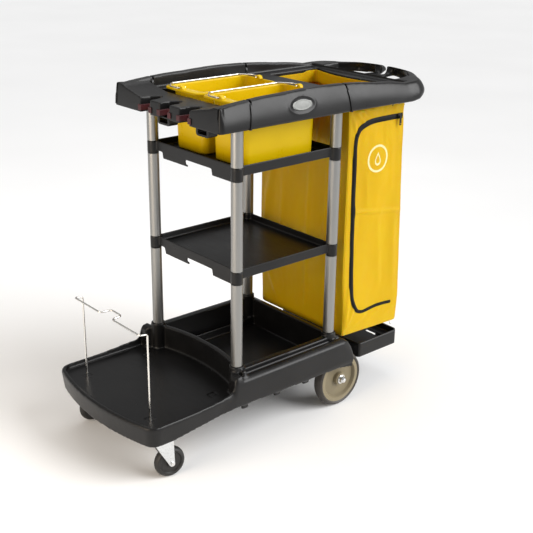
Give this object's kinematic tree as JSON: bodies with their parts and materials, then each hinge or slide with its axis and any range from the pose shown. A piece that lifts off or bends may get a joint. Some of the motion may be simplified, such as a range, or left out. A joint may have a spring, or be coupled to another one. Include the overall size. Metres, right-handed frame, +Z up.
{
  "type": "cleaning caddy cart",
  "caption": "Housekeeping cart: low front deck with wire rack, bin well, two trays on tube posts, handled top frame, lift-out pails, zipped waste bag, swivel casters and rear wheels.",
  "frame": {"origin": "on the floor, under the middle of the whole cart's box", "axes": "+X runs from the low deck towards the push handle, +Y to the cart's left side as seen when looking along +X, +Z up"},
  "size_m": [1.316, 0.56, 1.1615],
  "materials": {
    "aluminium_tube": "satin anodised",
    "black_moulding": "fine moulded texture",
    "hook_plastic": "smooth moulded",
    "grip_rubber": "soft matt",
    "badge_plate": "satin, blank",
    "yellow_pail": "semi-gloss moulded",
    "bright_wire": "bright drawn wire",
    "yellow_vinyl": "coated vinyl with a fine weave",
    "zipper_black": "woven tape with coil",
    "zipper_metal": "black enamelled",
    "stud_plastic": "gloss",
    "grey_tyre": "worn non-marking rubber",
    "tan_hub": "moulded",
    "plated_steel": "bright zinc",
    "zinc_fork": "zinc-plated pressing",
    "caster_mount": "black",
    "caster_rubber": "hard rubber"
  },
  "bodies": {
    "chassis": {"axle_cap_left": "plated_steel", "axle_cap_right": "plated_steel", "axle_washer_left": "plated_steel", "axle_washer_right": "plated_steel", "bag_stud_left": "stud_plastic", "bag_stud_right": "stud_plastic", "base_deck": "black_moulding", "caster_plate_left": "caster_mount", "caster_plate_right": "caster_mount", "caster_stem_left": "caster_mount", "caster_stem_right": "caster_mount", "middle_shelf": "black_moulding", "post_tube_lower_front_left": "aluminium_tube", "post_tube_lower_front_right": "aluminium_tube", "post_tube_lower_rear_left": "aluminium_tube", "post_tube_lower_rear_right": "aluminium_tube", "post_tube_middle_front_left": "aluminium_tube", "post_tube_middle_front_right": "aluminium_tube", "post_tube_middle_rear_left": "aluminium_tube", "post_tube_middle_rear_right": "aluminium_tube", "post_tube_upper_front_left": "aluminium_tube", "post_tube_upper_front_right": "aluminium_tube", "post_tube_upper_rear_left": "aluminium_tube", "post_tube_upper_rear_right": "aluminium_tube", "rear_axle": "plated_steel", "rear_platform": "black_moulding", "side_badge_left": "badge_plate", "side_badge_right": "badge_plate", "tool_grip_centre": "grip_rubber", "tool_grip_left": "grip_rubber", "tool_grip_right": "grip_rubber", "top_frame": "black_moulding", "upper_shelf": "black_moulding", "utility_hook_left": "hook_plastic", "utility_hook_right": "hook_plastic", "waste_bag": "yellow_vinyl", "zipper_tape": "zipper_black"},
    "rear_wheel_left": {"rear_tyre_left": "grey_tyre", "rear_hub_left": "tan_hub"},
    "caster_left": {"caster_fork_left": "zinc_fork", "caster_bolt_left": "plated_steel", "caster_nut_left": "plated_steel"},
    "caster_roller_left": {"caster_wheel_left": "caster_rubber"},
    "pail_left": {"pail_left": "yellow_pail"},
    "bail_left": {"bail_left": "bright_wire"},
    "rear_wheel_right": {"rear_tyre_right": "grey_tyre", "rear_hub_right": "tan_hub"},
    "caster_right": {"caster_fork_right": "zinc_fork", "caster_bolt_right": "plated_steel", "caster_nut_right": "plated_steel"},
    "caster_roller_right": {"caster_wheel_right": "caster_rubber"},
    "pail_right": {"pail_right": "yellow_pail"},
    "bail_right": {"bail_right": "bright_wire"},
    "wire_rack": {"deck_wire_rack": "bright_wire"},
    "zip_slider": {"zipper_slider": "zipper_metal"},
    "zip_pull": {"zipper_pull": "zipper_metal"}
  },
  "joints": [
    {"name": "caster_swivel_left", "type": "hinge", "parent": "chassis", "child": "caster_left", "pos_m": [-0.559, 0.222, 0.143], "axis": [0, 0, 1], "continuous": true},
    {"name": "caster_roll_left", "type": "hinge", "parent": "caster_left", "child": "caster_roller_left", "pos_m": [-0.52407, 0.23071, 0.0508], "axis": [-0.2419, 0.9703, 0], "continuous": true},
    {"name": "rear_wheel_roll_left", "type": "hinge", "parent": "chassis", "child": "rear_wheel_left", "pos_m": [0.21, 0.23, 0.1016], "axis": [0, 1, 0], "continuous": true},
    {"name": "pail_lift_left", "type": "slide", "parent": "chassis", "child": "pail_left", "axis": [0, 0, 1], "range_m": [0, 0.26]},
    {"name": "bail_swing_left", "type": "hinge", "parent": "pail_left", "child": "bail_left", "pos_m": [-0.051, 0.1, 1.135], "axis": [1, 0, 0], "range_deg": [0, 180]},
    {"name": "caster_swivel_right", "type": "hinge", "parent": "chassis", "child": "caster_right", "pos_m": [-0.559, -0.222, 0.143], "axis": [0, 0, 1], "continuous": true},
    {"name": "caster_roll_right", "type": "hinge", "parent": "caster_right", "child": "caster_roller_right", "pos_m": [-0.52335, -0.22701, 0.0508], "axis": [0.1392, 0.9903, 0], "continuous": true},
    {"name": "rear_wheel_roll_right", "type": "hinge", "parent": "chassis", "child": "rear_wheel_right", "pos_m": [0.21, -0.23, 0.1016], "axis": [0, 1, 0], "continuous": true},
    {"name": "pail_lift_right", "type": "slide", "parent": "chassis", "child": "pail_right", "axis": [0, 0, 1], "range_m": [0, 0.26]},
    {"name": "bail_swing_right", "type": "hinge", "parent": "pail_right", "child": "bail_right", "pos_m": [-0.051, -0.1, 1.135], "axis": [1, 0, 0], "range_deg": [0, 180]},
    {"name": "rack_lift", "type": "slide", "parent": "chassis", "child": "wire_rack", "axis": [0, 0, 1], "range_m": [0, 0.12]},
    {"name": "zip_travel", "type": "slide", "parent": "chassis", "child": "zip_slider", "axis": [-1, 0, 0], "range_m": [0, 0.1]},
    {"name": "zip_pull_swing", "type": "hinge", "parent": "zip_slider", "child": "zip_pull", "pos_m": [0.466, -0.2294, 1.0085], "axis": [-1, 0, 0], "range_deg": [0, 100]}
  ]
}
